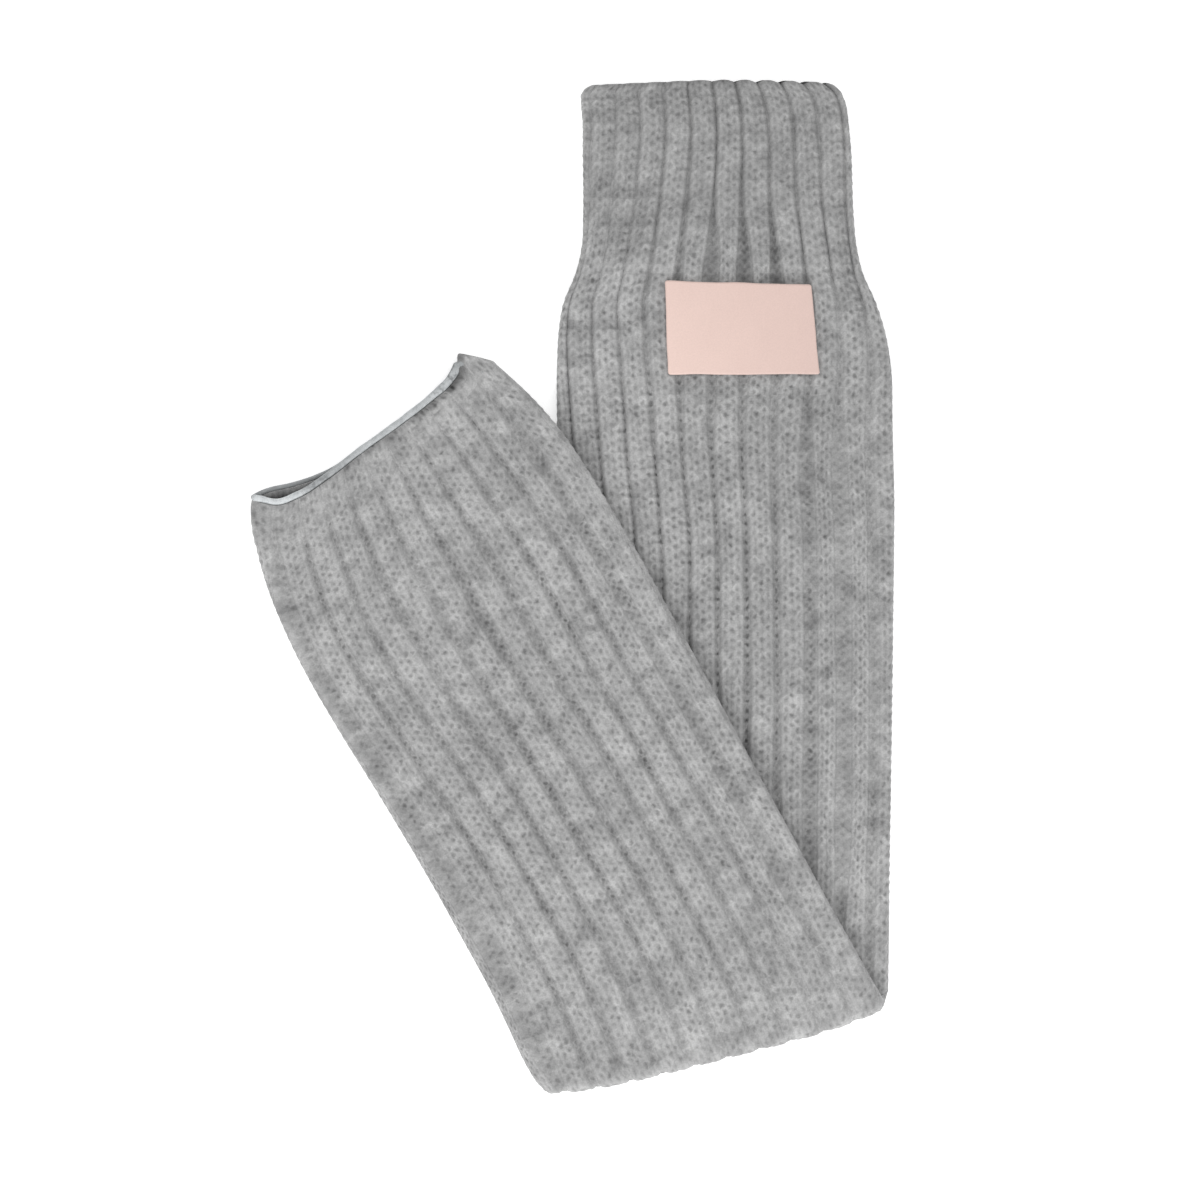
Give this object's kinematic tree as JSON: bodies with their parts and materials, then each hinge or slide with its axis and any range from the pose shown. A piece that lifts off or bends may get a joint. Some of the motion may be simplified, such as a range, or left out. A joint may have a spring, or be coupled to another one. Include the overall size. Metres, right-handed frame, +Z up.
{
  "type": "folded leg warmer",
  "caption": "Long rib-knit leg warmer lying flat and folded over on a slant, with a thin pale edging round its open mouth and a small blank label near its other end.",
  "frame": {"origin": "centre of the plan's bounding box, on the surface that the garment lies on", "axes": "+Z up off the surface, +Y along the lower stretch towards the labelled cuff, +X to the right seen from above with the cuff at the top"},
  "size_m": [0.2576, 0.405, 0.0126],
  "materials": {
    "grey_knit": "soft marled wool-like rib knit",
    "pale_edging": "smooth thin rolled edging",
    "pink_satin": "woven satin label"
  },
  "bodies": {
    "root": {"ribbed_tube": "grey_knit", "mouth_edging": "pale_edging", "label": "pink_satin"}
  },
  "joints": []
}
